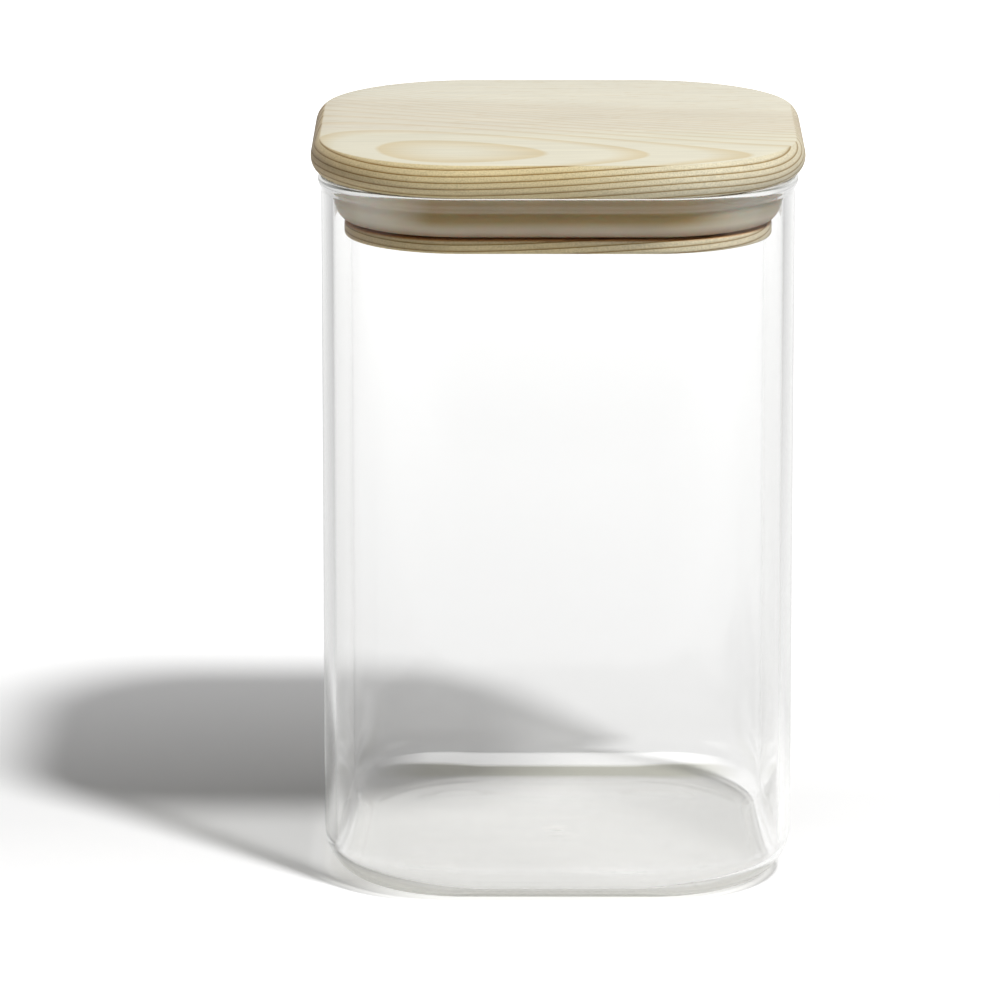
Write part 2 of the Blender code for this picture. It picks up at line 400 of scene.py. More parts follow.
def set_world():
    """Soft light from overhead, and white to the camera and behind the glass."""
    world = bpy.data.worlds.new("studio")
    world.use_nodes = True
    tree = world.node_tree
    tree.nodes.clear()
    direction = add_node(tree, "ShaderNodeTexCoord").outputs["Generated"]
    parts = add_node(tree, "ShaderNodeSeparateXYZ", Vector=direction).outputs
    strength = overhead_strength(tree, parts["Z"])
    lit = add_node(tree, "ShaderNodeBackground", Strength=strength)
    white = add_node(tree, "ShaderNodeBackground", Color=WHITE, Strength=1.0)
    choice = add_node(tree, "ShaderNodeMixShader")
    tree.links.new(sees_backdrop(tree, parts["Y"]), choice.inputs[0])
    tree.links.new(lit.outputs[0], choice.inputs[1])
    tree.links.new(white.outputs[0], choice.inputs[2])
    out = tree.nodes.new("ShaderNodeOutputWorld")
    tree.links.new(choice.outputs[0], out.inputs["Surface"])
    bpy.context.scene.world = world
    return world


world = set_world()
bpy.context.scene.view_settings.view_transform = "Standard"
print("world", world.name, "lit from above")

# %% [markdown]
# ## One plan for every piece
# Glass, lid and seal all follow the same plan, a square with round corners, offset inwards
# or outwards. So each piece can be made as a potter would pull a profile round a form: a
# list of stations, each a half width and a height, and one ring of points for each. Near
# the middle the straight part shrinks too, so that a floor closes to a point evenly.

# %% A ring of the plan
CORNER_STEPS = 36
SIDE_STEPS = 10
CORE_SHRINK_SHARE = 0.6


def plan_ring(half, height, core):
    """Points of a round-cornered square; core is half the length of a straight side."""
    core = min(core, half * CORE_SHRINK_SHARE)
    radius = half - core
    points = []
    for quarter in range(4):
        start = quarter * pi / 2
        middle = Vector((cos(start) - sin(start), sin(start) + cos(start), 0)) * core
        for step in range(CORNER_STEPS + 1):
            angle = start + step / CORNER_STEPS * pi / 2
            points.append(middle + Vector((cos(angle), sin(angle), 0)) * radius)
        end = start + pi / 2
        side = Vector((-sin(end), cos(end), 0)) * 2 * core
        last = points[-1]
        for step in range(1, SIDE_STEPS):
            points.append(last + side * step / SIDE_STEPS)
    for point in points:
        point.z = height
    return points


print("points in a ring:", len(plan_ring(1.0, 0.0, 0.5)))


# %% A loft through rings
def join_rings(bm, low, high):
    """Faces between two rings, one of which may be a single point."""
    count = max(len(low), len(high))
    for index in range(count):
        following = (index + 1) % count
        corners = []
        for ring, place in ((low, index), (low, following), (high, following), (high, index)):
            vertex = ring[place % len(ring)]
            if vertex not in corners:
                corners.append(vertex)
        bm.faces.new(corners)


def loft(name, stations, core, closed=False):
    """A smooth mesh through stations: half width, height and perhaps a core of their own."""
    bm = bmesh.new()
    rings = []
    for half, height, *own_core in stations:
        if half > 0:
            ring = plan_ring(half, height, own_core[0] if own_core else core)
            rings.append([bm.verts.new(point) for point in ring])
        else:
            rings.append([bm.verts.new((0, 0, height))])
    pairs = list(zip(rings, rings[1:]))
    if closed:
        pairs.append((rings[-1], rings[0]))
    for low, high in pairs:
        join_rings(bm, low, high)
    mesh = bpy.data.meshes.new(name)
    bm.to_mesh(mesh)
    bm.free()
    mesh.shade_smooth()
    item = bpy.data.objects.new(name, mesh)
    bpy.context.scene.collection.objects.link(item)
    return item


def arc(centre_half, centre_height, radius, start, end, steps, rise=None):
    """Stations on an arc, oval if it has a rise. Angles are degrees from outwards, turning up."""
    stations = []
    for step in range(steps + 1):
        angle = radians(start + (end - start) * step / steps)
        height = centre_height + (rise or radius) * sin(angle)
        stations.append((centre_half + radius * cos(angle), height))
    return stations


print("stations in a quarter turn of 4 steps:", len(arc(0, 0, 1, 0, 90, 4)))

# %% [markdown]
# ## The glass
# The container is blown into a square mould. It stands on a flat ring round a base that is
# pushed up a little, and the corner between base and wall is a generous oval round. Hot
# glass gathers in the corners of the mould, so the inside of the base is rounder in plan
# than the outside. It could be a box with rounded edges and a shell, but stations give
# each of these curves its own size.

# %% Stations of the base
_, GLASS_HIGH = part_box("glass_jar")
LIP_FLARE = 0.6 * MM
GLASS_HALF = GLASS_HIGH.x - LIP_FLARE
GLASS_CORE = 20.0 * MM
BASE_CORE = 13.0 * MM
FOOT_RADIUS = 9.0 * MM
FOOT_RING = 4.5 * MM
PUSH_UP = 0.4 * MM
PUSH_UP_SLOPE = 14.0 * MM
MIDDLE_SHARES = (
    0, 0.01, 0.02, 0.03, 0.05, 0.08, 0.14, 0.2, 0.26, 0.32, 0.38, 0.44, 0.5, 0.56, 0.62
)
OUTER_STEPS = 16


def eased(share):
    """A share from 0 to 1 that starts and ends softly, and stays in that range."""
    return (1 - cos(pi * min(max(share, 0), 1))) / 2


def push_up_height(half):
    """Height of the underside at a half width."""
    return PUSH_UP * eased((GLASS_HALF - FOOT_RADIUS - FOOT_RING - half) / PUSH_UP_SLOPE)


def floor_stations(outer_half, thickness):
    """Stations of the base from the middle out, below or above the glass."""
    halves = [outer_half * share for share in MIDDLE_SHARES]
    first, width = halves[-1], outer_half - halves[-1]
    halves += [first + width * step / OUTER_STEPS for step in range(1, OUTER_STEPS)]
    return [(half, push_up_height(half) + thickness) for half in halves]


def rounder_below(stations, flat_half, wall_half):
    """Stations whose plan grows rounder from the wall inwards to the flat of the base."""
    rounder = []
    for half, height in stations:
        share = min(max((half - flat_half) / (wall_half - flat_half), 0), 1)
        rounder.append((half, height, BASE_CORE + (GLASS_CORE - BASE_CORE) * share))
    return rounder


print(f"glass {2 * GLASS_HALF / MM:.1f} mm wide below its lip")

# %% [markdown]
# The wall rises straight to a lip that is flared a little and melted round by a flame. The
# whole section runs from the middle of the underside, up the outside, over the lip and
# down the inside to the middle of the floor.

# %% Stations of the wall, and the whole glass
GLASS_TOP = GLASS_HIGH.z
WALL = 2.5 * MM
BASE = 2.5 * MM
FOOT_RISE = 10.0 * MM
INNER_FOOT_RADIUS = 4.5 * MM
INNER_FOOT_RISE = 5.5 * MM
FOOT_STEPS = 24
WALL_STEPS = 24
LIP_HEIGHT = 3.2 * MM
LIP_ROUND = 1.1 * MM
FLARE_STEPS = 8
LIP_STEPS = 10
LIP_FIRST_TURN = 6


def wall_stations(inset):
    """Stations up the wall and its flare, set in from the outside."""
    flare_start = GLASS_TOP - LIP_HEIGHT
    wall_rise, flare_rise = flare_start - FOOT_RISE, LIP_HEIGHT - LIP_ROUND
    heights = [FOOT_RISE + step * wall_rise / WALL_STEPS for step in range(1, WALL_STEPS + 1)]
    for step in range(1, FLARE_STEPS + 1):
        heights.append(flare_start + step * flare_rise / FLARE_STEPS)
    return [
        (GLASS_HALF - inset + LIP_FLARE * eased((height - flare_start) / flare_rise), height)
        for height in heights
    ]


def glass_section():
    """The whole section of the glass, outside first."""
    outer_flat = GLASS_HALF - FOOT_RADIUS
    inner_flat = GLASS_HALF - WALL - INNER_FOOT_RADIUS
    foot = floor_stations(outer_flat, 0)
    foot += arc(outer_flat, FOOT_RISE, FOOT_RADIUS, -90, 0, FOOT_STEPS, rise=FOOT_RISE)
    lip_centre = GLASS_TOP - LIP_ROUND
    outer_lip = GLASS_HALF + LIP_FLARE - LIP_ROUND
    inner_lip = GLASS_HALF + LIP_FLARE - WALL + LIP_ROUND
    lip = arc(outer_lip, lip_centre, LIP_ROUND, LIP_FIRST_TURN, 90, LIP_STEPS)
    lip += arc(inner_lip, lip_centre, LIP_ROUND, 90, 180 - LIP_FIRST_TURN, LIP_STEPS)
    turn = BASE + INNER_FOOT_RISE
    hollow = arc(inner_flat, turn, INNER_FOOT_RADIUS, 0, -90, FOOT_STEPS, rise=INNER_FOOT_RISE)
    hollow += floor_stations(inner_flat, BASE)[::-1]
    hollow = rounder_below(hollow, inner_flat, GLASS_HALF - WALL)
    return foot + wall_stations(0) + lip + wall_stations(WALL)[::-1] + hollow


glass = loft("jar_glass", glass_section(), GLASS_CORE)
print("glass:", len(glass.data.polygons), "faces")

# %% [markdown]
# A real base is never even: faint rings lie round its middle, where the hot glass was
# closed, and slow ripples elsewhere. They bend what is seen through the base, so they are
# shaped into its upper face. They fade out towards the walls, and the foot ring below
# stays flat, so that the jar still stands level.

# %% Put the ripples in the base
DIMPLE_HEIGHT = 0.05 * MM
DIMPLE_WAVE = 7.0 * MM
DIMPLE_REACH = 11.0 * MM
RIPPLE_HEIGHT = 0.22 * MM
RIPPLE_SIZE = 17.0 * MM


def base_ripple(point):
    """How much a point of the base is raised."""
    distance = point.xy.length
    dimple = cos(2 * pi * distance / DIMPLE_WAVE) * exp(-((distance / DIMPLE_REACH) ** 2))
    slow = noise.noise(Vector((point.x, point.y, 0)) / RIPPLE_SIZE)
    edge = max(abs(point.x), abs(point.y))
    fade = min(max((GLASS_HALF - FOOT_RADIUS - edge) / PUSH_UP_SLOPE, 0), 1)
    return (DIMPLE_HEIGHT * dimple + RIPPLE_HEIGHT * slow) * fade


for vertex in glass.data.vertices:
    if BASE / 2 < vertex.co.z < FOOT_RADIUS:
        vertex.co.z += base_ripple(vertex.co)
print("deepest ripple", f"{max(DIMPLE_HEIGHT, RIPPLE_HEIGHT) / MM:.2f} mm")

# %% [markdown]
# ## The finish of the glass
# Clear glass bends light by an index of about 1.47. What makes it look like glass and not
# like air is its edge: there light runs a long way inside it, and picks up a faint
# yellow green. A little absorption in the volume gives that, by the length of the way.
# Lamps shine through thin glass almost unbent, so rays that only carry light meet a
# clear stand-in that dims them more where they graze the wall, and the shadow stays light.
# The stand-in is a little darker in the base, where light is lost between its two faces
# and the floor. Rays that have been mirrored more than twice pass straight on, because
# following them further costs time and shows only as noise.

# %% What the glass leaves of a lamp's light
LAMP_THROUGH = (0.962, 0.962, 0.962, 1)
LAMP_THROUGH_BASE = (0.902, 0.900, 0.888, 1)
LAMP_GRAZING = (0.0, 0.0, 0.0, 1)
GRAZING_POWER = 5.0
FACING_BLEND = 0.5


def lamp_tint(tree):
    """Nearly white, less in the base, and black where the glass is grazed."""
    facing = add_node(tree, "ShaderNodeLayerWeight", Blend=FACING_BLEND).outputs["Facing"]
    graze = maths(tree, "POWER", facing, GRAZING_POWER)
    _, parts = place_in_object(tree)
    in_base = maths(tree, "LESS_THAN", parts["Z"], 2 * BASE)
    square_on = blend_colours(tree, in_base, LAMP_THROUGH, LAMP_THROUGH_BASE)
    return blend_colours(tree, graze, square_on, LAMP_GRAZING)


print("lamps keep", f"{LAMP_THROUGH[0]:.0%} at each face")

# %% Finish the glass
GLASS_IOR = 1.47
GLASS_TINT = (1.0, 1.0, 1.0, 1)
EDGE_TINT = (0.90, 0.92, 0.80, 1)
EDGE_DENSITY = 9.0
MIRRORINGS_FOLLOWED = 2.5


def glass_finish():
    """Clear glass with tinted depth, and a light shadow."""
    material, out = new_material("clear glass")
    tree = material.node_tree
    clear = add_node(
        tree,
        "ShaderNodeBsdfPrincipled",
        Base_Color=GLASS_TINT,
        Roughness=0.0,
        IOR=GLASS_IOR,
        Transmission_Weight=1.0,
    )
    through = add_node(tree, "ShaderNodeBsdfTransparent", Color=lamp_tint(tree))
    path = tree.nodes.new("ShaderNodeLightPath").outputs
    carried = maths(tree, "MAXIMUM", path["Is Shadow Ray"], path["Is Diffuse Ray"])
    trapped = maths(tree, "GREATER_THAN", path["Glossy Depth"], MIRRORINGS_FOLLOWED)
    either = add_node(tree, "ShaderNodeMixShader")
    tree.links.new(maths(tree, "MAXIMUM", carried, trapped), either.inputs[0])
    tree.links.new(clear.outputs[0], either.inputs[1])
    tree.links.new(through.outputs[0], either.inputs[2])
    tree.links.new(either.outputs[0], out.inputs["Surface"])
    depth = add_node(tree, "ShaderNodeVolumeAbsorption", Color=EDGE_TINT, Density=EDGE_DENSITY)
    tree.links.new(depth.outputs[0], out.inputs["Volume"])
    return material


glass.data.materials.append(glass_finish())
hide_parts("glass_jar")
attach(glass, "jar")
print("glass index", GLASS_IOR)

# %% [markdown]
# ## The lid
# The lid is one board, milled to a plate with a plug under it. The plate's edge is an oval
# curve below and a flatter one above, and then the top is faced off, which leaves a fine
# crease just inside the edge. A bevel would give one round only, so the edge is two arcs
# that meet at its widest place.

# %% Stations of the plate
LID_LOW, LID_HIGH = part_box("lid")
LID_HALF = LID_HIGH.x
LID_TOP = LID_HIGH.z
LID_PLATE = 7.12 * MM
UNDERSIDE = LID_TOP - LID_PLATE
UNDER_ROUND = 3.5 * MM
UNDER_REACH = 2.7 * MM
UNDER_STEPS = 14
UPPER_STEPS = 12
UPPER_TURN_LEFT_OUT = 3
CREASE_INSET = 1.93 * MM
CREASE_SOFT = 0.2 * MM
FLAT_SHARES = (0.06, 0.2, 0.36, 0.52, 0.68, 0.8, 0.9)


def flat_disc(half, height):
    """Stations over a flat face, from its middle out."""
    return [(0, height)] + [(half * share, height) for share in FLAT_SHARES]


def plate_edge():
    """The turned edge of the plate, up to the crease where the top was faced off."""
    widest = UNDERSIDE + UNDER_ROUND
    rise = LID_TOP - widest
    radius = (CREASE_INSET ** 2 + rise ** 2) / (2 * CREASE_INSET)
    start = UPPER_TURN_LEFT_OUT
    end = degrees(asin(rise / radius)) - UPPER_TURN_LEFT_OUT
    under_half = LID_HALF - UNDER_REACH
    edge = arc(under_half, widest, UNDER_REACH, -90, 0, UNDER_STEPS, rise=UNDER_ROUND)
    edge += arc(LID_HALF - radius, widest, radius, start, end, UPPER_STEPS)
    crease, soft = LID_HALF - CREASE_INSET, CREASE_SOFT / 3
    return edge + [(crease + soft, LID_TOP - soft), (crease - CREASE_SOFT, LID_TOP)]


print(f"plate {LID_PLATE / MM:.2f} mm thick")

# %% [markdown]
# The plug has a groove for the seal, with a flange below it. The corners of the plate are a
# little rounder in plan than the glass below them, and the plug follows the glass. The
# section runs from the middle of the underside out and up to the middle of the top.

# %% Shape the lid
PLATE_CORE = 18.2 * MM
PLUG_BOTTOM = LID_LOW.z
PLUG_HALF = 45.0 * MM
PLUG_ROUND = 0.8 * MM
PLUG_STEPS = 6
FLANGE = 3.1 * MM
FLANGE_TOP = PLUG_BOTTOM + FLANGE
FLANGE_SOFT = 0.6 * MM
FLANGE_STEPS = 4
GROOVE = 3.0 * MM


def lid_section():
    """The section of the lid, from the middle of the plug to the middle of the top."""
    neck = PLUG_HALF - GROOVE
    under_half, flange_half = PLUG_HALF - PLUG_ROUND, PLUG_HALF - FLANGE_SOFT
    plug = flat_disc(under_half, PLUG_BOTTOM)
    plug += arc(under_half, PLUG_BOTTOM + PLUG_ROUND, PLUG_ROUND, -90, 0, PLUG_STEPS)
    plug += arc(flange_half, FLANGE_TOP - FLANGE_SOFT, FLANGE_SOFT, 0, 90, FLANGE_STEPS)
    plug += [(neck, FLANGE_TOP), (neck, UNDERSIDE)]
    plug = [(half, height, GLASS_CORE) for half, height in plug]
    top = flat_disc(LID_HALF - CREASE_INSET - CREASE_SOFT, LID_TOP)[::-1]
    return plug + plate_edge() + top


lid = loft("lid_pine", lid_section(), PLATE_CORE)
print("lid:", len(lid.data.polygons), "faces")

# %% [markdown]
# ## Pine
# The board is flat-sawn, so its yearly rings lie nearly level and the top cuts them at a
# low angle. That is what draws the long ovals and arches on the top, and the even lines on
# the edge. So the pattern isn't painted: one formula says how deep each ring lies below
# any point of the top, as a shallow trough that runs along the grain and bends more
# towards the right end. The plate's edge and the plug then cut the same rings by
# themselves.

# %% Lay out the rings
TROUGH_X = -21.4 * MM
TROUGH_Y = -34.7 * MM
TROUGH_BEND = 3.75
TROUGH_BEND_GROWTH = 74.0
TROUGH_STEEPENING = 13.2
TROUGH_SKEW = 0.955
END_RISE = 1.80
END_FLATTENING = -15.0
RING_WIDTH = 1.35 * MM
FIRST_RING_SHARE = 0.63
RING_WANDER = 0.07 * MM
WANDER_SIZE = 14 * MM
WANDER_STRETCH = 5.0
WANDER_DETAIL = 2.0


def stretched_noise(tree, place, size, stretch, detail):
    """Noise with features of a size across the grain, and longer along it."""
    along = add_node(tree, "ShaderNodeMapping", Vector=place, Scale=(1 / stretch, 1, 1))
    return add_node(
        tree, "ShaderNodeTexNoise", Vector=along.outputs[0], Scale=1 / size, Detail=detail
    ).outputs[0]


def trough_depth(tree, parts):
    """How deep a ring lies below the lid's top, as a curved trough along the grain."""
    along = maths(tree, "SUBTRACT", parts["X"], TROUGH_X)
    across = maths(tree, "SUBTRACT", parts["Y"], TROUGH_Y)
    below = maths(tree, "SUBTRACT", LID_TOP, parts["Z"])
    bend = maths(tree, "MULTIPLY_ADD", along, TROUGH_BEND_GROWTH, TROUGH_BEND)
    steeper = maths(tree, "ADD", bend, maths(tree, "MULTIPLY", across, TROUGH_STEEPENING))
    cup = maths(tree, "MULTIPLY", steeper, maths(tree, "MULTIPLY", across, across))
    skew = maths(tree, "MULTIPLY", maths(tree, "MULTIPLY", along, across), TROUGH_SKEW)
    rise = maths(tree, "MULTIPLY_ADD", along, END_FLATTENING, END_RISE)
    ends = maths(tree, "MULTIPLY", rise, maths(tree, "MULTIPLY", along, along))
    return maths(tree, "ADD", maths(tree, "ADD", cup, skew), maths(tree, "ADD", ends, below))


def season_of(tree, place, parts):
    """The time of year when a point's wood grew, from 0 to 1, with a slow wander."""
    slow = stretched_noise(tree, place, WANDER_SIZE, WANDER_STRETCH, WANDER_DETAIL)
    wander = maths(tree, "MULTIPLY", maths(tree, "SUBTRACT", slow, 0.5), 2 * RING_WANDER)
    depth = maths(tree, "ADD", trough_depth(tree, parts), wander)
    years = maths(tree, "ADD", maths(tree, "DIVIDE", depth, RING_WIDTH), FIRST_RING_SHARE)
    return maths(tree, "FRACT", years)


print(f"rings {RING_WIDTH / MM:.2f} mm wide")

# %% [markdown]
# Each ring goes from cream spring wood to tan summer wood, the dark line at the end of the
# year. The spring wood has three tones from front to back, darker in front and in the
# middle than at the back. Partly that is the board's own tone, and partly it is painted
# shade that evens out the near lamp, which lights the front more. Faces need to be told
# apart too, because the cutter leaves the edge rougher than the sanded top: their share
# comes from the direction that a face looks in.

# %% Spring wood, and which way a face looks
# Darker in front and in the middle: partly the board's tone, partly painted shade against the
# lamp.
FRONT_WOOD = (0.625, 0.59, 0.465, 1)
MIDDLE_WOOD = (0.61, 0.565, 0.455, 1)
BACK_WOOD = (0.655, 0.625, 0.515, 1)
FRONT_ENDS = -12 * MM
BACK_STARTS = 20 * MM
BACK_SLANT = 0.19
ZONE_FADE = 7 * MM
EDGE_BEGINS = 0.90
END_POWER = 2.0


def greys(tree, factor, *stops):
    """Grey levels that follow a factor through stops of place and level."""
    node = tree.nodes.new("ShaderNodeValToRGB")
    elements = node.color_ramp.elements
    while len(elements) < len(stops):
        elements.new(0.5)
    for element, (place, level) in zip(elements, stops):
        element.position = place
        element.color = (level, level, level, 1)
    tree.links.new(factor, node.inputs[0])
    return node.outputs[0]


def step_up(tree, value, middle, width):
    """0 below a middle value and 1 above it, with a slope of some width."""
    above = maths(tree, "SUBTRACT", value, middle)
    return maths(tree, "MULTIPLY_ADD", above, 1 / width, 0.5, clamp=True)


def spring_wood(tree, parts):
    """Spring wood in three zones from front to back."""
    slant = maths(tree, "MULTIPLY_ADD", parts["X"], BACK_SLANT, parts["Y"])
    middle = step_up(tree, parts["Y"], FRONT_ENDS, ZONE_FADE)
    back = step_up(tree, slant, BACK_STARTS, ZONE_FADE)
    front_half = blend_colours(tree, middle, FRONT_WOOD, MIDDLE_WOOD)
    return blend_colours(tree, back, front_half, BACK_WOOD)


def face_shares(tree):
    """How much a face belongs to the edge, and to one of its ends."""
    facing = add_node(tree, "ShaderNodeNewGeometry").outputs["Normal"]
    spaces = {"convert_from": "WORLD", "convert_to": "OBJECT"}
    turned = add_node(tree, "ShaderNodeVectorTransform", spaces, Vector=facing)
    sides = add_node(tree, "ShaderNodeSeparateXYZ", Vector=turned.outputs[0]).outputs
    edge = greys(tree, maths(tree, "ABSOLUTE", sides["Z"]), (EDGE_BEGINS, 1), (1.0, 0))
    return edge, maths(tree, "POWER", maths(tree, "ABSOLUTE", sides["X"]), END_POWER)


print("zones of spring wood end at", f"{FRONT_ENDS / MM:.0f} and {BACK_STARTS / MM:.0f} mm")

# %% [markdown]
# Where the cutter worked across the ring, on the edge and the plug, the summer wood stands
# out as a fine brown line that sets on fast. The sanded top shows it softer and wider, and
# fainter towards the back, where the rings lie closer.

# %% Summer wood
SUMMER_TINT_TOP = (0.89, 0.79, 0.62, 1)
SUMMER_TINT_EDGE = (0.46, 0.35, 0.19, 1)
SUMMER_ON_TOP = ((0.0, 0.9), (0.05, 0), (0.62, 0), (0.93, 0.85), (1.0, 1))
SUMMER_ON_EDGE = ((0.0, 1), (0.05, 0), (0.60, 0), (0.80, 0.4), (0.90, 1))
FAINTER_BACK = 0.6
FAINTER_WIDTH = 60 * MM


def tinted(tree, share, colour, tint):
    """The colour, multiplied by a tint where the share is 1."""
    multiplied = blend_colours(tree, 1.0, colour, tint, "MULTIPLY")
    return blend_colours(tree, share, colour, multiplied)


def with_summer(tree, wood, season, parts, edge):
    """The wood with its yearly lines, as the top and the edge show them."""
    backwards = step_up(tree, parts["Y"], 0.0, FAINTER_WIDTH)
    kept = one_minus(tree, maths(tree, "MULTIPLY", backwards, FAINTER_BACK))
    on_top = maths(tree, "MULTIPLY", greys(tree, season, *SUMMER_ON_TOP), kept)
    on_top = maths(tree, "MULTIPLY", on_top, one_minus(tree, edge))
    on_edge = maths(tree, "MULTIPLY", greys(tree, season, *SUMMER_ON_EDGE), edge)
    wood = tinted(tree, on_top, wood, SUMMER_TINT_TOP)
    return tinted(tree, on_edge, wood, SUMMER_TINT_EDGE)


print(f"summer lines fade by {FAINTER_BACK:.0%} at the back")

# %% [markdown]
# Fibres draw fine lines along the grain, with slow streaks over them and, further back,
# short dark ticks, which are pores cut lengthwise. On the edge the cut fibres show as a
# speckle instead. All of these are noise, stretched along the grain or not.

# %% Fibres, streaks, speckle and ticks
FIBRE_SIZE = 0.35 * MM
FIBRE_STRETCH = 40.0
FIBRE_DETAIL = 3.0
FIBRE_LEVELS = ((0.3, 0.94), (0.7, 1.03))
STREAK_SIZE = 1.6 * MM
STREAK_STRETCH = 14.0
STREAK_DETAIL = 2.0
STREAK_LEVELS = ((0.3, 0.95), (0.7, 1.03))
SPECKLE_SIZE = 0.28 * MM
SPECKLE_DETAIL = 2.0
SPECKLE_LEVELS = ((0.35, 0.82), (0.6, 1.05))
TICK_SIZE = 0.45 * MM
TICK_STRETCH = 9.0
TICK_DETAIL = 1.0
TICK_LEVELS = ((0.62, 0), (0.72, 1))
TICK_TINT = (0.90, 0.83, 0.72, 1)
TICK_START = -16 * MM
TICK_FADE = 12 * MM


def with_fibres(tree, wood, place, fibre):
    """The wood with its fibres and slow streaks."""
    streak = stretched_noise(tree, place, STREAK_SIZE, STREAK_STRETCH, STREAK_DETAIL)
    fine = greys(tree, fibre, *FIBRE_LEVELS)
    slow = greys(tree, streak, *STREAK_LEVELS)
    wood = blend_colours(tree, 1.0, wood, fine, "MULTIPLY")
    return blend_colours(tree, 1.0, wood, slow, "MULTIPLY")


def with_marks(tree, wood, place, parts, edge):
    """The wood with a speckle on its edge, and with dark ticks on the back of its top."""
    speckle = stretched_noise(tree, place, SPECKLE_SIZE, 1.0, SPECKLE_DETAIL)
    wood = tinted(tree, edge, wood, greys(tree, speckle, *SPECKLE_LEVELS))
    tick = stretched_noise(tree, place, TICK_SIZE, TICK_STRETCH, TICK_DETAIL)
    zone = step_up(tree, parts["Y"], TICK_START, TICK_FADE)
    zone = maths(tree, "MULTIPLY", zone, one_minus(tree, edge))
    marked = maths(tree, "MULTIPLY", greys(tree, tick, *TICK_LEVELS), zone)
    return tinted(tree, marked, wood, TICK_TINT)


print(f"fibres {FIBRE_SIZE / MM:.2f} mm, ticks {TICK_SIZE / MM:.2f} mm across")

# %% [markdown]
# End grain soaks up more oil, so the edge is darker than the top, and its ends are redder.
# Towards the right, where the lamp falls, the edge and its end are made paler, a painted
# light. Below the plate the plug is lighter. Its groove and the edge of the flange below it
# get a deep brown painted shade.

# %% Oil on the edge, its painted light and shade, and the plug
EDGE_TINT_OF_WOOD = (0.90, 0.79, 0.57, 1)
# Painted light: the edge and its end are paler towards the right, where the lamp falls.
LIT_SIDE_EDGE_TINT = (0.975, 0.945, 0.875, 1)
END_TINT_OF_WOOD = (0.92, 0.82, 0.76, 1)
LIT_SIDE_MIDDLE = 15 * MM
LIT_SIDE_WIDTH = 30 * MM
LIT_SIDE_END_LOSS = 0.7
PLUG_TINT = (1.18, 1.16, 1.14, 1)
PLUG_EDGE_WIDTH = 0.3 * MM
# Painted shade: a deep red brown in the groove and on the flange's edge below it.
GROOVE_SHADE_TINT = (1.0, 0.57, 0.27, 1)
GROOVE_EDGE_DROP = 0.3 * MM
GROOVE_EDGE_WIDTH = 0.4 * MM


def edge_oil_and_lit_side(tree, wood, edge, lit_side):
    """The wood with oil in its edge, paler on the right as painted light where the lamp falls."""
    return tinted(tree, edge, wood, blend_colours(tree, lit_side, EDGE_TINT_OF_WOOD, LIT_SIDE_EDGE_TINT))


def ends_and_plug(tree, wood, parts, end, lit_side):
    """The wood with redder ends, a lighter plug and a brown painted shade in the groove."""
    # The painted light on the right takes most of the end tint away.
    oiled = one_minus(tree, maths(tree, "MULTIPLY", lit_side, LIT_SIDE_END_LOSS))
    wood = tinted(tree, maths(tree, "MULTIPLY", end, oiled), wood, END_TINT_OF_WOOD)
    below = maths(tree, "SUBTRACT", UNDERSIDE, parts["Z"])
    in_plug = step_up(tree, below, 0.0, PLUG_EDGE_WIDTH)
    wood = tinted(tree, in_plug, wood, PLUG_TINT)
    # Painted shade in the groove, down to the flange's edge.
    in_shaded_groove = step_up(tree, parts["Z"], FLANGE_TOP - GROOVE_EDGE_DROP, GROOVE_EDGE_WIDTH)
    return tinted(tree, maths(tree, "MULTIPLY", in_plug, in_shaded_groove), wood, GROOVE_SHADE_TINT)


print("groove of the lid tinted above", f"{(FLANGE_TOP - GROOVE_EDGE_DROP) / MM:.1f} mm")

# %% Finish the pine
PINE_IOR = 1.45
WOOD_ROUGHNESS = 0.52
ROUGHNESS_LEVELS = ((0.2, WOOD_ROUGHNESS + 0.06), (0.8, WOOD_ROUGHNESS - 0.05))
FIBRE_BUMP = 0.15
FIBRE_DEPTH = 0.02 * MM


def pine_finish():
    """Oiled flat-sawn pine."""
    material, out = new_material("oiled pine")
    tree = material.node_tree
    place, parts = place_in_object(tree)
    edge, end = face_shares(tree)
    lit_side = step_up(tree, parts["X"], LIT_SIDE_MIDDLE, LIT_SIDE_WIDTH)
    fibre = stretched_noise(tree, place, FIBRE_SIZE, FIBRE_STRETCH, FIBRE_DETAIL)
    wood = edge_oil_and_lit_side(tree, spring_wood(tree, parts), edge, lit_side)
    wood = with_summer(tree, wood, season_of(tree, place, parts), parts, edge)
    wood = with_fibres(tree, wood, place, fibre)
    wood = with_marks(tree, wood, place, parts, edge)
    wood = ends_and_plug(tree, wood, parts, end, lit_side)
    bump = add_node(
        tree, "ShaderNodeBump", Strength=FIBRE_BUMP, Distance=FIBRE_DEPTH, Height=fibre
    )
    shader = add_node(
        tree,
        "ShaderNodeBsdfPrincipled",
        Base_Color=wood,
        Roughness=greys(tree, fibre, *ROUGHNESS_LEVELS),
        Normal=bump.outputs[0],
        IOR=PINE_IOR,
    )
    tree.links.new(shader.outputs[0], out.inputs["Surface"])
    return material


lid.data.materials.append(pine_finish())
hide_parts("lid")
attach(lid, "lid")
print("pine roughness about", WOOD_ROUGHNESS)

# %% [markdown]
# ## The seal
# The seal is a stretched ring of soft silicone. A band grips the neck of the plug, and from
# its foot a lip flares out and up, until it stands against the glass all round. Seen from
# the front it shows as two bands: the upright upper one pressed to the glass, and the
# slanted one below it that narrows to the flange. Its section is a list of corners, each
# with a small round, because a moulded part has no sharp edge.

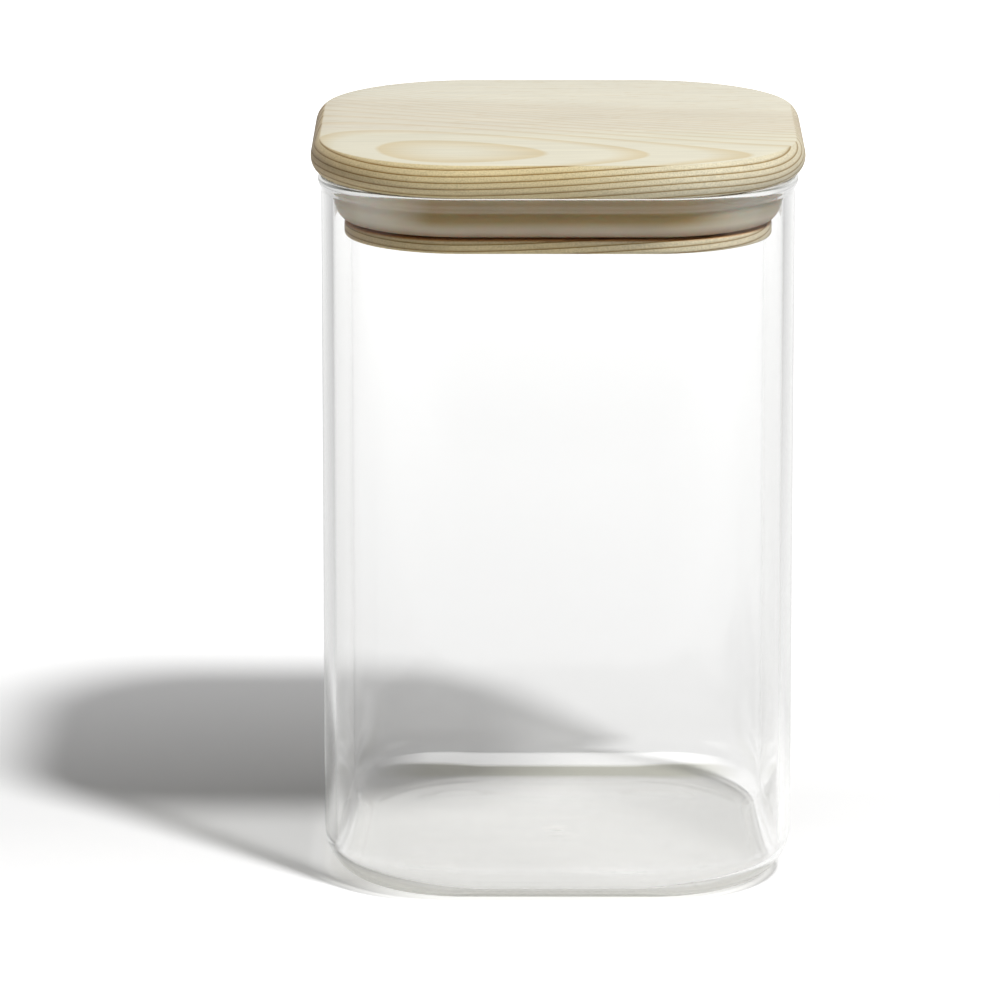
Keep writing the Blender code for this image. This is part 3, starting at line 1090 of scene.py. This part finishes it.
# %% Shape the seal
SEAL_LOW, SEAL_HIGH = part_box("seal")
SEAL_REACH = SEAL_HIGH.x
SEAL_TOP = SEAL_HIGH.z
SEAL_FOOT = SEAL_LOW.z
BAND_HALF = 42.3 * MM
HEEL_OUT = 2.7 * MM
HEEL_RISE = 0.15 * MM
SKIRT_OUT = 1.3 * MM
SKIRT_RISE = 1.5 * MM
FOLD_RISE = 4.2 * MM
SEAL_BAND = 1.3 * MM
SEAL_LIP = 1.1 * MM
SLOT_FLOOR = 2.2 * MM
LIP_DROP = 0.6 * MM
CORNER_CURVE_STEPS = 5


def soft_corner(before, corner, after, radius):
    """Stations that round a corner of a section with a small curve."""
    here, first, last = Vector(corner), Vector(before), Vector(after)
    start = here + (first - here).normalized() * radius
    end = here + (last - here).normalized() * radius
    stations = []
    for step in range(CORNER_CURVE_STEPS + 1):
        share = step / CORNER_CURVE_STEPS
        point = start * (1 - share) ** 2 + here * 2 * share * (1 - share) + end * share ** 2
        stations.append((point.x, point.y))
    return stations


def seal_corners():
    """The corners of the seal's section with their rounds, from the foot of its band out."""
    lip_top = SEAL_TOP - LIP_DROP
    fold = SEAL_FOOT + FOLD_RISE
    inner_lip = SEAL_REACH - SEAL_LIP
    heel = BAND_HALF + HEEL_OUT
    return [
        ((BAND_HALF, SEAL_FOOT), 0.2 * MM),
        ((heel, SEAL_FOOT + HEEL_RISE), 0.9 * MM),
        ((heel + SKIRT_OUT, SEAL_FOOT + HEEL_RISE + SKIRT_RISE), 0.9 * MM),
        ((SEAL_REACH, fold), 0.8 * MM),
        ((SEAL_REACH, lip_top), 0.45 * MM),
        ((inner_lip, lip_top), 0.45 * MM),
        ((inner_lip, fold + SEAL_LIP / 2), 0.6 * MM),
        ((BAND_HALF + SEAL_BAND, SEAL_FOOT + SLOT_FLOOR), 0.4 * MM),
        ((BAND_HALF + SEAL_BAND, SEAL_TOP), 0.2 * MM),
        ((BAND_HALF, SEAL_TOP), 0.2 * MM),
    ]


def seal_section():
    """The closed section of the seal, with every corner rounded."""
    corners = seal_corners()
    stations = []
    for index, (corner, radius) in enumerate(corners):
        before = corners[index - 1][0]
        after = corners[(index + 1) % len(corners)][0]
        stations += soft_corner(before, corner, after, radius)
    return stations


seal = loft("seal_silicone", seal_section(), GLASS_CORE, closed=True)
print("seal:", len(seal.data.polygons), "faces")

# %% [markdown]
# Silicone of this kind is milky: light goes some way into it and comes out softened, which
# a little subsurface scattering gives. The lip is thin enough for the wood behind it to
# show through, and it lies in the shade of the lid, so it is painted a warm brown for
# both. The heel at its foot gets a brown painted shade, like the groove's shade beside it.
# At the corners the painted brown is left out and the lip stays pale. The left corner,
# which the lamp leaves in shade, is painted lighter, and the right one, which it lights, is
# painted darker: painted light and painted shade.

# %% Colours of the silicone
SILICONE_FOOT = (0.64, 0.575, 0.46, 1)
# Painted shade at the heel, next to the shaded groove.
SILICONE_HEEL_SHADE = (0.30, 0.20, 0.115, 1)
# Painted brown of the lip: the wood showing through it and the shade of the lid.
SILICONE_LIP_PAINTED_BROWN = (0.40, 0.285, 0.12, 1)
# Corners: the left painted lighter as painted light, the right darker as painted shade.
LEFT_CORNER_PAINTED_LIGHT = (0.78, 0.73, 0.60, 1)
RIGHT_CORNER_PAINTED_SHADE = (0.49, 0.445, 0.35, 1)
HEEL_SHADE_MIDDLE = 1.3 * MM
HEEL_SHADE_WIDTH = 2.2 * MM
LIP_MIDDLE = FOLD_RISE - 1.5 * MM
LIP_WIDTH = 2.5 * MM
LIP_BROWN_REACH = 32 * MM
CORNER_FADE = 12 * MM
CORNER_PAINT_FADE = 60 * MM


def silicone_colour(tree, parts):
    """Painted shade at the heel, pale on the skirt, a painted brown in the lip, and painted light
    and shade at the corners.
    """
    across = [maths(tree, "ABSOLUTE", parts[axis]) for axis in "XY"]
    corner = step_up(tree, maths(tree, "MINIMUM", *across), LIP_BROWN_REACH, CORNER_FADE)
    rightward = step_up(tree, parts["X"], 0.0, CORNER_PAINT_FADE)
    corner_paint = blend_colours(tree, rightward, LEFT_CORNER_PAINTED_LIGHT, RIGHT_CORNER_PAINTED_SHADE)
    lip = blend_colours(tree, corner, SILICONE_LIP_PAINTED_BROWN, corner_paint)
    above_heel = step_up(tree, parts["Z"], SEAL_FOOT + HEEL_SHADE_MIDDLE, HEEL_SHADE_WIDTH)
    foot = blend_colours(tree, above_heel, SILICONE_HEEL_SHADE, SILICONE_FOOT)
    in_lip = step_up(tree, parts["Z"], SEAL_FOOT + LIP_MIDDLE, LIP_WIDTH)
    return blend_colours(tree, in_lip, foot, lip)


print(f"lip colour from {(SEAL_FOOT + LIP_MIDDLE) / MM:.1f} mm up")

# %% Finish the seal
CLOUD_SCALE = 70.0
CLOUD_DETAIL = 3.0
CLOUD_LEVELS = ((0.3, 0.93), (0.7, 1.06))
SILICONE_ROUGHNESS = 0.55
SILICONE_IOR = 1.41
SILICONE_GLOW = 0.5
SILICONE_GLOW_DEPTH = 1.5 * MM


def silicone_finish():
    """Milky, slightly satin silicone, a little cloudy."""
    material, out = new_material("milky silicone")
    tree = material.node_tree
    place, parts = place_in_object(tree)
    cloud = stretched_noise(tree, place, 1 / CLOUD_SCALE, 1.0, CLOUD_DETAIL)
    cloud = greys(tree, cloud, *CLOUD_LEVELS)
    shader = add_node(
        tree,
        "ShaderNodeBsdfPrincipled",
        Base_Color=blend_colours(tree, 1.0, silicone_colour(tree, parts), cloud, "MULTIPLY"),
        Roughness=SILICONE_ROUGHNESS,
        IOR=SILICONE_IOR,
        Subsurface_Weight=SILICONE_GLOW,
        Subsurface_Scale=SILICONE_GLOW_DEPTH,
    )
    tree.links.new(shader.outputs[0], out.inputs["Surface"])
    return material


seal.data.materials.append(silicone_finish())
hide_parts("seal")
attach(seal, "lid")
print("seal reaches", f"{SEAL_REACH / MM:.1f} mm")
